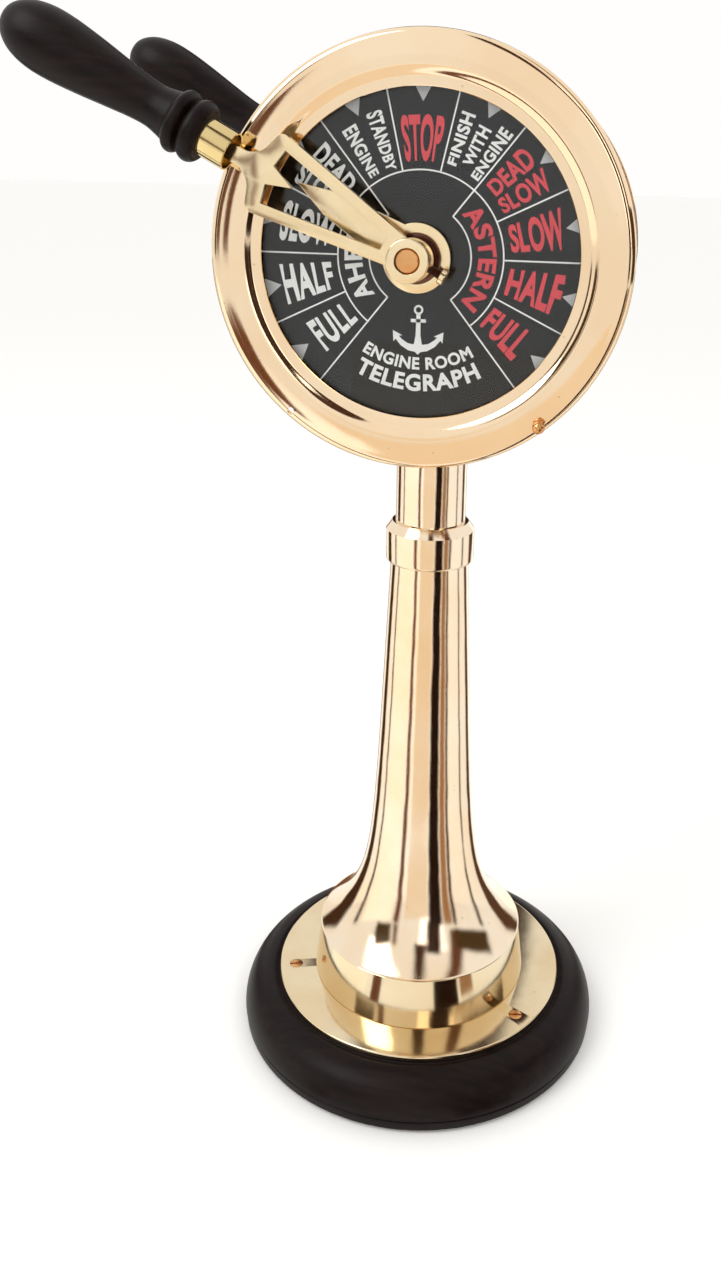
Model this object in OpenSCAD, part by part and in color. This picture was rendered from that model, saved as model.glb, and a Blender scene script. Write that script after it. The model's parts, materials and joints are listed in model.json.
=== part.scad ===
// Double-faced ship engine telegraph: a lever head on a trumpet pedestal and a turned wooden base.
// The origin is the middle of the underside, +Z is up and the front dial faces -Y. Sizes are in mm.
// Pieces of the head are drawn in a local frame: x to the right, y up, z out of the head's face.

/* [Stand] */
// Height of the lever shaft above the table
shaft_height = 491; // [480:1:560]
// Diameter of the wooden base
base_d = 227.8; // [216:0.2:250]
// Height of the wooden base, felt included
base_h = 30; // [28:1:36]
// Diameter of the brass base flange
flange_d = 182.6; // [178:0.2:188]
// Thickness of the brass base flange
flange_t = 3.1; // [2:0.1:5]
// Diameter of the foot band where it stands on the flange
foot_bottom_d = 135.8; // [132:0.2:140]
// Diameter of the foot band under the trumpet
foot_top_d = 128.4; // [126:0.2:131]
// Height of the foot band
foot_h = 31.3; // [26:0.1:36]
// Height of the trumpet's top shoulder above the table
pedestal_top = 311.5; // [300:0.5:320]
// Diameter of the trumpet at its top shoulder
pedestal_top_d = 46.4; // [45:0.2:49]
// Diameter of the collar
collar_d = 52.4; // [50:0.2:58]
// Diameter of the neck tube
neck_d = 41.2; // [40:0.2:43]

/* [Head] */
// Outer diameter of each bezel
bezel_d = 218; // [216:0.5:224]
// Diameter of the window in each bezel
window_d = 164; // [160:0.5:168]
// Outer diameter of the drum
casing_d = 199; // [196:0.5:200]
// Distance from the middle of the head to the front of a bezel's face
face_out = 63.1; // [62.6:0.1:64]
// Diameter of the lever shaft
shaft_d = 11.6; // [10:0.1:12]

/* [Levers] */
// Angle of both levers from upright, towards AHEAD
lever_angle = 61.8; // [0:0.1:128.5]
// Angle of both reply pointers from upright, towards AHEAD
pointer_angle = 60.3; // [0:0.1:128.5]
// Distance from the middle of the head to the middle of a lever
lever_out = 74.5; // [74.5:0.1:78]
// Thickness of a lever
lever_t = 4; // [3:0.5:4]
// Distance from the shaft's axis to a grip's tip
grip_reach = 235.8; // [230:0.2:250]

/* [Bell] */
// Number of lobes on the trip wheel, one for each sector of a full dial
lobes = 14; // [10:1:16]
// Diameter of the gong
gong_d = 66; // [56:1:66]

/* [Hidden] */

FRONT = -1;
REAR = 1;

// finishes
BRASS = [0.93, 0.78, 0.50];
COPPER_BRASS = [0.90, 0.66, 0.42];
DARK_WOOD = [0.14, 0.08, 0.07];
BLACK = [0.06, 0.06, 0.07];
STEEL = [0.62, 0.63, 0.65];
GLASS = [0.75, 0.85, 0.88, 0.3];

// base
felt_t = 1.6;
felt_inset = 5;
base_r = base_d / 2;
plinth_top = 6.8;
base_round = base_h - 8.6;
well_r = 15;
well_top = 12;
flange_top = base_h + flange_t;
flange_screw_r = 80.8;
flange_screw_angles = [-162, -31.4, 83];
screw_head_r = 4;
screw_shank_r = 2.1;
screw_bottom = 14;

// pedestal
foot_top = flange_top + foot_h;
foot_wall = 2.4;
wall = 2.2;
lip = 0.5;
flare_length = 22.4;
taper = 11.2;
spigot_h = 6.5;
collar_h = 24.5;
neck_wall = 2.6;
neck_r = neck_d / 2;

// tie rod
rod_r = 4;
rod_hole_r = 4.5;
nut_h = 6.5;
nut_across_corners = 15;
washer_r = 12;
washer_t = 1.6;

// head, as distances out from its middle
casing_r = casing_d / 2;
casing_wall = 3;
casing_in_r = casing_r - casing_wall;
casing_out = 58;
rim_r = 102.6;
rim_t = 3;
ledge_r = 84;
ledge_out = 50;
ledge_t = 3;
dial_t = 1.6;
dial_out = ledge_out + dial_t;
glass_t = 3;
glass_out = face_out - 5;
glass_r = 94.8;
gasket_t = 0.8;
lip_back = glass_out + gasket_t;
sheet = 1.6;
spindle_hole_r = 8.3;

// bezel fastenings, just inside its rounded rim
clip_r = 105;
clip_angle = 141;
clip_hole_r = 1.9;
clip_w = 8;
clip_depth = 4;
bezel_ball_r = 3.3;

// shaft, bushes and pointers
shaft_r = shaft_d / 2;
running_fit = 0.05;
bridge_t = 5;
bridge_w = 24;
bridge_out = ledge_out - ledge_t;
bridge_screw_at = 90;
bush_r = 8;
bush_out = glass_out + 6.1;
bush_flange_r = 12;
bush_flange_t = 3;
pointer_out = glass_out + 1.5;
pointer_t = 2.4;
pointer_disc_r = 17.5;
pointer_collar_r = 12.8;
pointer_collar_h = 1.6;
pointer_tip = 71.5;

// levers
lever_back = lever_out - lever_t / 2;
lever_front = lever_out + lever_t / 2;
boss_r = 10.8;
boss_out = lever_out + 11.5;
hub_r = 9.7;
hub_gap = 0.4;
hub_back = bush_out + hub_gap;
set_screw_r = 2.5;
set_screw_head_r = 4.35;
set_screw_out = (hub_back + lever_back) / 2;
tang_half = 4.1;
tang_end = 118;
fork_end = 85;
tube_start = 103.6;
tube_end = 149.5;
tube_r = 9.9;
tube_wall = 1;
grip_start = 118.3;

// bell work
wheel_r = 24;
wheel_depth = 7;
wheel_t = 6;
gong_at = 60;
gong_front = 12;
gong_depth = 16;
gong_wall = 1.6;
gong_post_r = 4;
stud_r = 2.5;
striker_x = 44;
striker_y = -6;
hammer_x = 39.4;
hammer_y = 52;
hammer_r = 5;
striker_bore_r = 3.05;

// A turned piece about the vertical axis.
module turned(outline, sides = 96) {
    rotate_extrude($fn = sides) polygon(outline);
}

// Places pieces on the head: local z points out of the chosen face.
module on_head(side = FRONT) {
    translate([0, 0, shaft_height])
        mirror([0, side == REAR ? 1 : 0, 0])
            rotate([90, 0, 0])
                children();
}

// The same, turned so that local x runs along the levers, out from the shaft.
module on_lever(side) {
    on_head(side) rotate([0, 0, 90 + lever_angle]) children();
}

// A ring between two radii, from one distance out to another.
module ring(outer_r, inner_r, from, to, sides = 96) {
    translate([0, 0, from])
        difference() {
            cylinder(r = outer_r, h = to - from, $fn = sides);
            translate([0, 0, -1]) cylinder(r = inner_r, h = to - from + 2, $fn = sides);
        }
}

// Points of an arc, from one angle to another.
function arc(x, y, r, from, to, steps = 8) =
    [for (i = [0:steps]) let (a = from + (to - from) * i / steps) [x + r * cos(a), y + r * sin(a)]];

// A smooth curve through a few stations, as a Catmull-Rom spline.
function station(keys, i) = keys[max(0, min(len(keys) - 1, i))];
function spline_point(a, b, c, d, t) =
    0.5 * (2 * b + (c - a) * t + (2 * a - 5 * b + 4 * c - d) * t * t
           + (3 * b - a - 3 * c + d) * t * t * t);
function spline(keys, steps = 5) = [
    for (i = [0:len(keys) - 2], s = [0:steps - 1])
        spline_point(station(keys, i - 1), keys[i], keys[i + 1], station(keys, i + 2), s / steps),
    keys[len(keys) - 1]
];

// ---- base ----

// A plinth band, a scribed groove and a full quarter round up to the flange's seat.
module wood_base() {
    color(DARK_WOOD)
        difference() {
            turned(concat(
                [[rod_hole_r, felt_t], [base_r - 1.6, felt_t], [base_r - 0.6, felt_t + 1],
                 [base_r - 0.6, plinth_top], [base_r - 1.4, plinth_top + 0.5],
                 [base_r - 0.6, plinth_top + 1]],
                arc(base_r - base_round, base_h - base_round, base_round, 0, 84, 14),
                [[flange_d / 2 + 1.2, base_h - 0.8], [flange_d / 2 + 0.6, base_h],
                 [rod_hole_r, base_h]]));
            translate([0, 0, -1]) cylinder(r = well_r, h = well_top + 1, $fn = 64);
            flange_screw_places() cylinder(r = screw_shank_r, h = base_h, $fn = 24);
        }
}

module felt_pad() {
    color(BLACK) cylinder(r = base_r - felt_inset, h = felt_t, $fn = 96);
}

module flange_screw_places() {
    for (a = flange_screw_angles)
        rotate([0, 0, a]) translate([flange_screw_r, 0, screw_bottom]) children();
}

module flange_screw_body(grow = 0) {
    seat = flange_top - screw_bottom;
    cylinder(r = screw_shank_r, h = seat, $fn = 24);
    translate([0, 0, seat - (screw_head_r - screw_shank_r)])
        cylinder(r1 = screw_shank_r, r2 = screw_head_r, h = screw_head_r - screw_shank_r + grow,
                 $fn = 32);
}

module base_flange() {
    color(BRASS)
        difference() {
            turned([[30, base_h], [flange_d / 2 - 0.4, base_h], [flange_d / 2, base_h + 0.4],
                    [flange_d / 2, flange_top - 0.8], [flange_d / 2 - 0.8, flange_top],
                    [30, flange_top]], 128);
            flange_screw_places() flange_screw_body(0.01);
        }
}

module flange_screws() {
    slot_w = 1.2;
    slot_depth = 1;
    color(BRASS)
        flange_screw_places()
            difference() {
                flange_screw_body();
                translate([-screw_head_r, -slot_w / 2, flange_top - screw_bottom - slot_depth])
                    cube([2 * screw_head_r, slot_w, 2 * slot_depth]);
            }
}

// ---- pedestal ----

module foot_band() {
    color(BRASS)
        turned([[foot_bottom_d / 2 - foot_wall, flange_top], [foot_bottom_d / 2, flange_top],
                [foot_top_d / 2, foot_top], [foot_top_d / 2 - foot_wall, foot_top]], 128);
}

// Outer radius of the trumpet at a height: a straight taper and an exponential flare.
function trumpet_r(z) =
    let (flare = foot_top_d / 2 + lip - pedestal_top_d / 2 - taper)
    pedestal_top_d / 2 + taper * (pedestal_top - z) / (pedestal_top - foot_top)
    + flare * exp(-(z - foot_top) / flare_length);

module pedestal() {
    steps = 44;
    // stations crowd together towards the flare
    heights = [for (i = [0:steps]) foot_top + (pedestal_top - foot_top) * pow(i / steps, 2)];
    spigot_r = foot_top_d / 2 - foot_wall - 0.1;
    top_spigot_r = pedestal_top_d / 2 - 1;
    color(BRASS)
        turned(concat(
            [[spigot_r - wall, foot_top - spigot_h], [spigot_r, foot_top - spigot_h],
             [spigot_r, foot_top]],
            [for (z = heights) [trumpet_r(z), z]],
            [[top_spigot_r, pedestal_top], [top_spigot_r, pedestal_top + spigot_h],
             [top_spigot_r - wall, pedestal_top + spigot_h]],
            [for (i = [steps:-1:0])
                [min(trumpet_r(heights[i]) - 1.4 * wall, spigot_r - wall), heights[i]]]), 128);
}

module collar() {
    chamfer = 3.8;
    top = pedestal_top + collar_h;
    bore_r = pedestal_top_d / 2 - 1;
    color(BRASS)
        turned(concat(
            [[bore_r, pedestal_top]],
            arc(collar_d / 2 - 2, pedestal_top + 2, 2, -90, 0, 6),
            [[collar_d / 2, top - chamfer - 0.8], [neck_r + 1.8, top], [neck_r, top],
             [neck_r, pedestal_top + spigot_h], [bore_r, pedestal_top + spigot_h]]));
}

// The drum's outside, for shaping what meets it.
module drum(r) {
    on_head() translate([0, 0, -casing_out]) cylinder(r = r, h = 2 * casing_out, $fn = 128);
}

module neck_tube() {
    start = pedestal_top + spigot_h;
    color(BRASS)
        difference() {
            translate([0, 0, start])
                ring(neck_r, neck_r - neck_wall, 0, shaft_height - start - 90);
            drum(casing_r);
        }
}

module saddle_screw_places() {
    for (x = [-17, 17], y = [-17, 17]) translate([x, y, 0]) children();
}

module neck_saddle() {
    saddle_h = 16;
    saddle_r = 27;
    bottom = shaft_height - casing_r - 7.5;
    color(BRASS)
        difference() {
            turned([[neck_r, bottom], [saddle_r - 2, bottom], [saddle_r, bottom + 2],
                    [saddle_r, bottom + saddle_h], [neck_r, bottom + saddle_h]], 64);
            drum(casing_r);
            saddle_screw_places()
                translate([0, 0, bottom + 2]) cylinder(r = 1.6, h = saddle_h, $fn = 24);
        }
}

module saddle_screws() {
    bottom = shaft_height - casing_r - 5.5;
    seat = shaft_height - 94.2;
    color(STEEL)
        saddle_screw_places() {
            translate([0, 0, bottom]) cylinder(r = 1.6, h = seat - bottom, $fn = 24);
            translate([0, 0, seat]) cylinder(r1 = 3.2, r2 = 2.4, h = 2.4, $fn = 24);
        }
}

module tie_rod() {
    color(STEEL)
        translate([0, 0, felt_t + 1])
            cylinder(r = rod_r, h = shaft_height - 80 - felt_t - 1, $fn = 32);
}

// A flat washer under the base and a curved one on the drum's floor.
module tie_washers() {
    seat = shaft_height - 90;
    color(STEEL) {
        ring(washer_r, rod_r, well_top - washer_t, well_top, 48);
        intersection() {
            ring(washer_r, rod_r, seat - 8, seat, 48);
            drum(casing_in_r);
        }
    }
}

module tie_nuts() {
    color(STEEL)
        for (z = [well_top - washer_t - nut_h, shaft_height - 90])
            translate([0, 0, z])
                difference() {
                    cylinder(d = nut_across_corners, h = nut_h, $fn = 6);
                    translate([0, 0, -1]) cylinder(r = rod_r, h = nut_h + 2, $fn = 32);
                }
}

// ---- drum, bezels, glass and dials ----

module head_casing() {
    half = [[casing_in_r, 0], [casing_r, 0], [casing_r, casing_out - rim_t],
            [rim_r, casing_out - rim_t], [rim_r, casing_out], [casing_in_r, casing_out],
            [casing_in_r, ledge_out], [ledge_r, ledge_out], [ledge_r, ledge_out - ledge_t],
            [casing_in_r, ledge_out - ledge_t]];
    color(BRASS)
        difference() {
            union() {
                on_head(FRONT) turned(half, 128);
                on_head(REAR) turned(half, 128);
            }
            translate([0, 0, shaft_height - casing_r - 5]) cylinder(r = rod_hole_r, h = 20, $fn = 32);
            saddle_screw_places()
                translate([0, 0, shaft_height - casing_r - 5]) cylinder(r = 1.6, h = 20, $fn = 24);
            for (side = [FRONT, REAR])
                on_head(side) bridge_screw_body(0.06);
        }
}

// A spun sheet ring: flat lip, ogee step, crowned face and a rolled rim.
module bezel_body() {
    window_r = window_d / 2;
    rim = 4.1;
    bend_x = bezel_d / 2 - rim;
    bend_z = face_out - rim - 0.2;
    step_x = window_r + 4.5;
    face_x = window_r + 9;
    lip_out = lip_back + 1.1;
    step_in = [[face_x + 1, face_out - 1.9], [face_x - 1.2, lip_back + 1], [step_x - 0.6, lip_back]];
    turned(concat(
        [[window_r, lip_back], [window_r, lip_out]],
        [for (i = [0:8]) let (t = i / 8)
            [step_x + (face_x - step_x) * t,
             lip_out + 0.5 + (face_out - 0.3 - lip_out - 0.5) * (1 - cos(180 * t)) / 2]],
        [for (i = [1:7]) let (t = i / 8)
            [face_x + (bend_x - face_x) * t, face_out - 0.3 + 0.3 * sin(180 * t)]],
        arc(bend_x, bend_z, rim, 88, 0, 10),
        [[bezel_d / 2, casing_out - 1.5], [bezel_d / 2 - sheet, casing_out - 1.5]],
        arc(bend_x, bend_z, rim - sheet, 0, 88, 6),
        step_in), 180);
}

module clip_places(angles) {
    for (a = angles) rotate([0, 0, 90 + a]) translate([clip_r, 0, 0]) children();
}

// The front bezel's second fastening is missing, so one of its holes stands open.
function clip_angles(side) = side == FRONT ? [-clip_angle] : [-clip_angle, clip_angle];

module bezel(side) {
    color(BRASS)
        on_head(side)
            difference() {
                bezel_body();
                clip_places([-clip_angle, clip_angle])
                    translate([0, 0, casing_out - 1]) cylinder(r = clip_hole_r, h = 10, $fn = 32);
            }
}
module front_bezel() { bezel(FRONT); }
module rear_bezel() { bezel(REAR); }

// Ball-headed screws that pull the clips up behind the drum's rim.
module bezel_screws() {
    shank_r = 1.75;
    neck_top = face_out + 2.2;
    end = casing_out - rim_t - clip_depth - 1;
    color(BRASS)
        for (side = [FRONT, REAR])
            on_head(side)
                clip_places(clip_angles(side)) {
                    translate([0, 0, end]) cylinder(r = shank_r, h = neck_top - end, $fn = 24);
                    translate([0, 0, face_out]) cylinder(r = 2.6, h = 1, $fn = 32);
                    translate([0, 0, neck_top + 2]) sphere(r = bezel_ball_r, $fn = 32);
                }
}

module bezel_clips() {
    tail = 2.2;
    color(BRASS)
        for (side = [FRONT, REAR])
            on_head(side)
                clip_places(clip_angles(side))
                    translate([0, 0, casing_out - rim_t - clip_depth])
                        difference() {
                            translate([-4.6, -clip_w / 2, 0])
                                cube([4.6 + tail, clip_w, clip_depth - 0.1]);
                            translate([0, 0, -1]) cylinder(r = 1.75, h = clip_depth + 2, $fn = 24);
                        }
}

module gasket(side) {
    color(BLACK) on_head(side) ring(88, window_d / 2 + 0.8, glass_out, lip_back);
}
module front_gasket() { gasket(FRONT); }
module rear_gasket() { gasket(REAR); }

module pane(side) {
    color(GLASS) on_head(side) ring(glass_r, spindle_hole_r, glass_out - glass_t, glass_out);
}
module front_glass() { pane(FRONT); }
module rear_glass() { pane(REAR); }

module spacer(side) {
    color(BLACK) on_head(side) ring(casing_in_r, 86, dial_out, glass_out - glass_t);
}
module front_spacer() { spacer(FRONT); }
module rear_spacer() { spacer(REAR); }

module dial(side) {
    color(BLACK) on_head(side) ring(casing_in_r, spindle_hole_r, ledge_out, dial_out);
}
module front_dial() { dial(FRONT); }
module rear_dial() { dial(REAR); }

// ---- bearings ----

// Countersunk screws through the ledge into a bridge; their holes are a little wider.
module bridge_screw_body(play = 0) {
    head_r = 3.6 + play;
    shank = 1.6 + play;
    for (y = [-bridge_screw_at, bridge_screw_at])
        translate([0, y, 0]) {
            translate([0, 0, ledge_out - 6]) cylinder(r = shank, h = 6, $fn = 24);
            translate([0, 0, ledge_out - (head_r - shank)])
                cylinder(r1 = shank, r2 = head_r, h = head_r - shank + play, $fn = 32);
        }
}

module bridge_blank(side) {
    on_head(side)
        difference() {
            union() {
                translate([-bridge_w / 2, -94, bridge_out - bridge_t])
                    cube([bridge_w, 188, bridge_t]);
                if (side == REAR)
                    translate([0, striker_y - 8, bridge_out - bridge_t])
                        cube([striker_x + 8, 16, bridge_t]);
            }
            translate([0, 0, bridge_out - bridge_t - 1])
                cylinder(r = bush_r, h = bridge_t + 2, $fn = 48);
            bridge_screw_body();
            if (side == REAR) {
                for (post = [[striker_x, striker_y], [0, gong_at]])
                    translate([post[0], post[1], bridge_out - bridge_t - 1])
                        cylinder(r = stud_r, h = bridge_t + 2, $fn = 32);
            }
        }
}
module front_bridge() { color(BRASS) bridge_blank(FRONT); }
module rear_bridge() { color(BRASS) bridge_blank(REAR); }

module bridge_screws() {
    color(STEEL) for (side = [FRONT, REAR]) on_head(side) bridge_screw_body();
}

module bush(side) {
    back = bridge_out - bridge_t;
    color(COPPER_BRASS)
        on_head(side)
            turned([[shaft_r + running_fit, back - bush_flange_t], [bush_flange_r, back - bush_flange_t],
                    [bush_flange_r, back], [bush_r, back], [bush_r, bush_out],
                    [shaft_r + running_fit, bush_out]], 64);
}
module front_bush() { bush(FRONT); }
module rear_bush() { bush(REAR); }

module pointer_washers() {
    color(BLACK)
        for (side = [FRONT, REAR])
            on_head(side) ring(12, spindle_hole_r, glass_out, pointer_out - 0.3, 48);
}

// A disc with a spear blade, free to turn on the bush's spigot.
module pointer(side) {
    waist = 52;
    root = 8;
    color(BRASS)
        on_head(side)
            rotate([0, 0, 90 + pointer_angle])
                difference() {
                    union() {
                        translate([0, 0, pointer_out])
                            linear_extrude(pointer_t) {
                                circle(r = pointer_disc_r, $fn = 96);
                                polygon([[root, -11.3], [waist, -6.5], [pointer_tip, 0],
                                         [waist, 6.5], [root, 11.3]]);
                            }
                        translate([0, 0, pointer_out])
                            cylinder(r = pointer_collar_r, h = pointer_t + pointer_collar_h,
                                     $fn = 96);
                    }
                    translate([0, 0, pointer_out - 1])
                        cylinder(r = bush_r + running_fit, h = 10, $fn = 48);
                }
}
module front_pointer() { pointer(FRONT); }
module rear_pointer() { pointer(REAR); }

// ---- shaft and what it carries ----

module main_shaft() {
    end = boss_out + 0.3;
    chamfer = 0.6;
    color(COPPER_BRASS)
        on_head()
            difference() {
                turned([[0, -end], [shaft_r - chamfer, -end], [shaft_r, -end + chamfer],
                        [shaft_r, end - chamfer], [shaft_r - chamfer, end], [0, end]], 64);
                wheel_pin_body();
            }
}

module shaft_collars() {
    front = bridge_out - bridge_t - bush_flange_t - 2.6;
    color(BRASS)
        for (side = [FRONT, REAR])
            on_head(side) ring(11, shaft_r, front - 8, front, 48);
}

module friction_washers() {
    front = bridge_out - bridge_t - bush_flange_t - 0.3;
    color(STEEL)
        for (side = [FRONT, REAR])
            on_head(side) ring(10.5, shaft_r, front - 2.3, front, 48);
}

module wheel_pin_body() {
    translate([0, 0, 6]) rotate([0, 90, 0]) translate([0, 0, -11]) cylinder(r = 1.5, h = 22, $fn = 24);
}

module wheel_pin() {
    color(STEEL) on_head() wheel_pin_body();
}

module trip_wheel() {
    hub = 11;
    points = lobes * 10;
    color(BRASS)
        on_head()
            difference() {
                union() {
                    translate([0, 0, -wheel_t / 2])
                        linear_extrude(wheel_t)
                            polygon([for (i = [0:points - 1])
                                let (a = 360 * i / points,
                                     r = wheel_r - wheel_depth * (1 + cos(lobes * a)) / 2)
                                [r * cos(a), r * sin(a)]]);
                    translate([0, 0, -wheel_t / 2]) cylinder(r = hub, h = 12, $fn = 48);
                }
                translate([0, 0, -10]) cylinder(r = shaft_r, h = 24, $fn = 64);
                wheel_pin_body();
            }
}

// ---- levers and grips ----

// Two legs spread from the boss to a cross bar with an inward arrow, then narrow to the tang.
module lever_outline() {
    scoop_x = 99.3;
    scoop_r = 11.4;
    edge = concat(
        [[2, 7.3], [fork_end - 4.5, 20.6], [fork_end, 20.2], [87.8, 14]],
        arc(scoop_x, tang_half + scoop_r, scoop_r, 195, 270, 10),
        [[tang_end, tang_half]]);
    polygon(concat(edge, [for (i = [len(edge) - 1:-1:0]) [edge[i][0], -edge[i][1]]]));
}

module lever_window() {
    polygon([[15.8, -3.75], [79.5, -14.3], [81.4, -4.9], [68.5, 0],
             [81.4, 4.9], [79.5, 14.3], [15.8, 3.75]]);
}

module lever(side) {
    color(BRASS)
        on_lever(side)
            difference() {
                union() {
                    translate([0, 0, lever_back])
                        linear_extrude(lever_t)
                            difference() {
                                lever_outline();
                                lever_window();
                            }
                    translate([0, 0, lever_back])
                        turned([[0, 0], [boss_r, 0], [boss_r, boss_out - lever_back - 0.8],
                                [boss_r - 0.8, boss_out - lever_back], [0, boss_out - lever_back]]);
                    translate([0, 0, hub_back])
                        cylinder(r = hub_r, h = lever_back - hub_back, $fn = 64);
                }
                translate([0, 0, hub_back - 1])
                    cylinder(r = shaft_r, h = boss_out - hub_back + 2, $fn = 64);
                translate([0, 0, set_screw_out])
                    rotate([0, -90, 0]) cylinder(r = set_screw_r, h = hub_r + 2, $fn = 32);
            }
}
module front_lever() { lever(FRONT); }
module rear_lever() { lever(REAR); }

// Slotted screws that lock each lever's hub to the shaft, opposite its grip.
module lever_set_screws() {
    head_from = 15.5;
    head_h = 3;
    color(BRASS)
        for (side = [FRONT, REAR])
            on_lever(side)
                translate([0, 0, set_screw_out])
                    rotate([0, -90, 0])
                        difference() {
                            union() {
                                translate([0, 0, shaft_r])
                                    cylinder(r = set_screw_r, h = head_from - shaft_r, $fn = 32);
                                translate([0, 0, head_from])
                                    cylinder(r = set_screw_head_r, h = head_h, $fn = 48);
                            }
                            translate([-0.6, -5, head_from + head_h - 1.2]) cube([1.2, 10, 3]);
                        }
}

module grip_tube(side) {
    color(BRASS)
        on_lever(side)
            translate([0, 0, lever_out])
                rotate([0, 90, 0]) ring(tube_r, tube_r - tube_wall, tube_start, tube_end);
}
module front_grip_tube() { grip_tube(FRONT); }
module rear_grip_tube() { grip_tube(REAR); }

// Plugs that hold the flat tangs in the middle of their tubes.
module tang_plugs() {
    from = 111;
    color(BRASS)
        for (side = [FRONT, REAR])
            on_lever(side)
                difference() {
                    translate([from, 0, lever_out])
                        rotate([0, 90, 0]) cylinder(r = tube_r - tube_wall, h = 14, $fn = 64);
                    translate([from - 1, -tang_half, lever_back])
                        cube([tang_end - from + 1, 2 * tang_half, lever_t]);
                }
}

// A turned grip: two beads, a waist and a full bulb, with a blind bore for the tube.
module grip(side) {
    beads = concat(
        [[grip_start, tube_r], [grip_start, 11.4]],
        arc(123.4, 10.9, 5.1, 175, 12, 10),
        [[129.2, 13.2]],
        arc(132.8, 12.8, 3.5, 172, 8, 8));
    body = spline([[137, 13.4], [141, 12.1], [148, 10.9], [157, 11.3], [170, 12.9], [187, 15.1],
                   [203, 16.6], [215, 16.4], [225, 13.9], [232, 9.2], [grip_reach - 0.8, 4],
                   [grip_reach, 0]]);
    color(DARK_WOOD)
        on_lever(side)
            translate([0, 0, lever_out])
                rotate([0, 90, 0])
                    difference() {
                        rotate_extrude($fn = 96)
                            polygon(concat([for (p = concat(beads, body)) [p[1], p[0]]],
                                           [[0, tube_end], [tube_r, tube_end]]));
                    }
}
module front_grip() { grip(FRONT); }
module rear_grip() { grip(REAR); }

// ---- bell work ----

module gong() {
    rim_r1 = gong_d / 2;
    crown = 8;
    color(BRASS)
        on_head()
            translate([0, gong_at, gong_front - gong_depth])
                turned(concat(
                    [[2, gong_depth], [crown, gong_depth]],
                    [for (a = [9:9:90]) [crown + (rim_r1 - crown) * sin(a), gong_depth * cos(a)]],
                    [for (a = [90:-9:0])
                        [crown + (rim_r1 - gong_wall - crown) * sin(a),
                         (gong_depth - gong_wall) * cos(a)]],
                    [[2, gong_depth - gong_wall]]), 64);
}

module gong_post() {
    color(STEEL)
        on_head(FRONT)
            translate([0, gong_at, 0])
                difference() {
                    union() {
                        translate([0, 0, -(bridge_out - bridge_t)])
                            cylinder(r = gong_post_r,
                                     h = bridge_out - bridge_t + gong_front - gong_wall, $fn = 32);
                        translate([0, 0, -bridge_out]) cylinder(r = stud_r, h = bridge_t, $fn = 32);
                    }
                    translate([0, 0, gong_front - 8]) cylinder(r = 2, h = 20, $fn = 24);
                }
}

module gong_screw() {
    color(BRASS)
        on_head(FRONT)
            translate([0, gong_at, gong_front]) {
                translate([0, 0, -8]) cylinder(r = 2, h = 8, $fn = 24);
                turned([[0, 0], [4.4, 0], [4.2, 1.2], [3, 2.4], [0, 2.9]], 32);
            }
}

module striker_post() {
    color(STEEL)
        on_head(FRONT)
            translate([striker_x, striker_y, 0])
                union() {
                    translate([0, 0, -(bridge_out - bridge_t)])
                        cylinder(r = 5, h = bridge_out - bridge_t - 4.4, $fn = 32);
                    translate([0, 0, -bridge_out]) cylinder(r = stud_r, h = bridge_t, $fn = 32);
                    translate([0, 0, -4.4]) cylinder(r = 3, h = 10.6, $fn = 48);
                    translate([0, 0, 4.5]) cylinder(r = 5, h = 1.7, $fn = 32);
                }
}

// A bar of the striker arm, from the pivot to a point given from the pivot.
module striker_bar(x, y, w, t) {
    rotate([0, 0, atan2(y, x)]) translate([0, -w / 2, -t / 2]) cube([norm([x, y]), w, t]);
}

module striker_arm() {
    boss = 7;
    nose_r = 1.5;
    nose_x = 24.6 + nose_r - striker_x;
    color(BRASS)
        on_head()
            translate([striker_x, striker_y, 0])
                difference() {
                    union() {
                        translate([0, 0, -4]) cylinder(r = boss, h = 8, $fn = 48);
                        striker_bar(hammer_x - striker_x, hammer_y - striker_y - hammer_r, 6, 3);
                        striker_bar(nose_x, -striker_y, 3, 3);
                        translate([nose_x, -striker_y, -1.5]) cylinder(r = nose_r, h = 3, $fn = 24);
                    }
                    translate([0, 0, -5]) cylinder(r = striker_bore_r, h = 10, $fn = 48);
                }
}

module striker_hammer() {
    flat = 0.4;
    color(BRASS)
        on_head()
            translate([hammer_x, hammer_y, -5.5])
                difference() {
                    cylinder(r = hammer_r, h = 9, $fn = 48);
                    translate([-3.2, -hammer_r - 1, 4]) cube([6.4, 1 + flat, 3]);
                }
}

// The close-wound torsion spring round the striker's post, with one leg up the arm and one down.
module striker_spring() {
    wire = 1.4;
    coil_r = 6.6;
    coil_h = 4 * wire;
    color(STEEL)
        on_head()
            translate([striker_x, striker_y, -12]) {
                ring(coil_r, coil_r - wire, 0, coil_h, 48);
                translate([0, coil_r - wire / 2, coil_h - wire / 2])
                    rotate([-90, 0, 0]) cylinder(d = wire * 0.9, h = 18, $fn = 24);
                translate([0, -coil_r + wire / 2, wire / 2])
                    rotate([90, 0, 0]) cylinder(d = wire * 0.9, h = 7, $fn = 24);
            }
}

wood_base();
felt_pad();
base_flange();
flange_screws();
foot_band();
pedestal();
collar();
neck_tube();
neck_saddle();
saddle_screws();
tie_rod();
tie_washers();
tie_nuts();
head_casing();
front_bezel();
rear_bezel();
bezel_screws();
bezel_clips();
front_gasket();
rear_gasket();
front_glass();
rear_glass();
front_spacer();
rear_spacer();
front_dial();
rear_dial();
front_bridge();
rear_bridge();
bridge_screws();
front_bush();
rear_bush();
pointer_washers();
front_pointer();
rear_pointer();
main_shaft();
shaft_collars();
friction_washers();
trip_wheel();
wheel_pin();
front_lever();
rear_lever();
lever_set_screws();
tang_plugs();
front_grip_tube();
rear_grip_tube();
front_grip();
rear_grip();
gong();
gong_post();
gong_screw();
striker_post();
striker_arm();
striker_hammer();
striker_spring();
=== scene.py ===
import json
import math

import bpy
from mathutils import Matrix, Vector

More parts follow.
